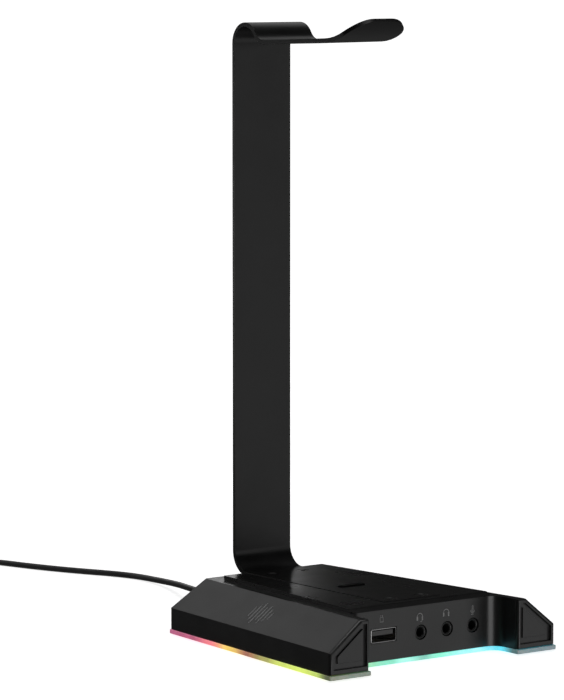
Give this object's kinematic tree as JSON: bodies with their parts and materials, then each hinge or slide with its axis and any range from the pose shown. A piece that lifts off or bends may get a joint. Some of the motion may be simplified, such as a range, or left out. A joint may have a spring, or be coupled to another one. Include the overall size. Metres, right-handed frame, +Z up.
{
  "type": "headphone stand",
  "caption": "Desk stand for headphones: bent metal strip on a weighted base with a light band, USB socket, audio jacks and a mode button.",
  "frame": {"origin": "on the desk, under the middle of the base, which stands on its rubber feet", "axes": "+Z up along the post, -Y to the front with the sockets, +X to the right seen from the front"},
  "size_m": [0.1602, 0.3706, 0.2648],
  "materials": {
    "housing_plastic": "fine matt texture, charcoal",
    "deck_plastic": "semi-gloss, black",
    "diffuser": "frosted translucent light guide",
    "strip_paint": "satin black powder coat",
    "black_screw": "black oxide steel",
    "steel_screw": "zinc plated",
    "steel": "bare sheet steel",
    "button_plastic": "semi-gloss black",
    "black_plastic": "moulded black",
    "board": "green solder mask",
    "board_white": "white flexible board",
    "led": "clear package",
    "tin_plate": "bright tin plate",
    "gold": "gold flash",
    "insulator": "moulded white",
    "foot_rubber": "matt",
    "cable_rubber": "soft PVC jacket, dark grey",
    "tie_rubber": "soft tie",
    "plug_plastic": "overmoulded PVC"
  },
  "bodies": {
    "stand": {"housing": "housing_plastic", "deck_cover": "deck_plastic", "end_cap_left": "housing_plastic", "end_cap_right": "housing_plastic", "light_guide": "diffuser", "bottom_plate": "housing_plastic", "support_strip": "strip_paint", "foot_screws": "black_screw", "backing_plate": "steel", "switch_body": "black_plastic", "main_board": "board", "board_screws": "steel_screw", "usb_socket_shell": "tin_plate", "usb_socket_tongue": "insulator", "usb_socket_contacts": "gold", "headset_jack": "black_plastic", "headphone_jack": "black_plastic", "microphone_jack": "black_plastic", "jack_contacts": "tin_plate", "audio_chip": "black_plastic", "hub_chip": "black_plastic", "crystal": "tin_plate", "lead_header": "insulator", "led_strip": "board_white", "leds": "led", "ballast_plate": "steel", "ballast_screws": "steel_screw", "base_screws": "steel_screw", "rubber_feet": "foot_rubber", "strain_relief": "cable_rubber", "inner_lead": "cable_rubber", "cable": "cable_rubber", "cable_coil": "cable_rubber", "cable_tail": "cable_rubber", "cable_tie": "tie_rubber", "plug_grip": "plug_plastic", "plug_shell": "tin_plate", "plug_tongue": "insulator", "plug_contacts": "gold"},
    "button": {"mode_button": "button_plastic", "switch_plunger": "button_plastic"}
  },
  "joints": [
    {"name": "button_press", "type": "slide", "parent": "stand", "child": "button", "axis": [0, 0, -1], "range_m": [0, 0.0005], "stiffness_N_per_m": 2000, "springref_m": -0.0002}
  ]
}
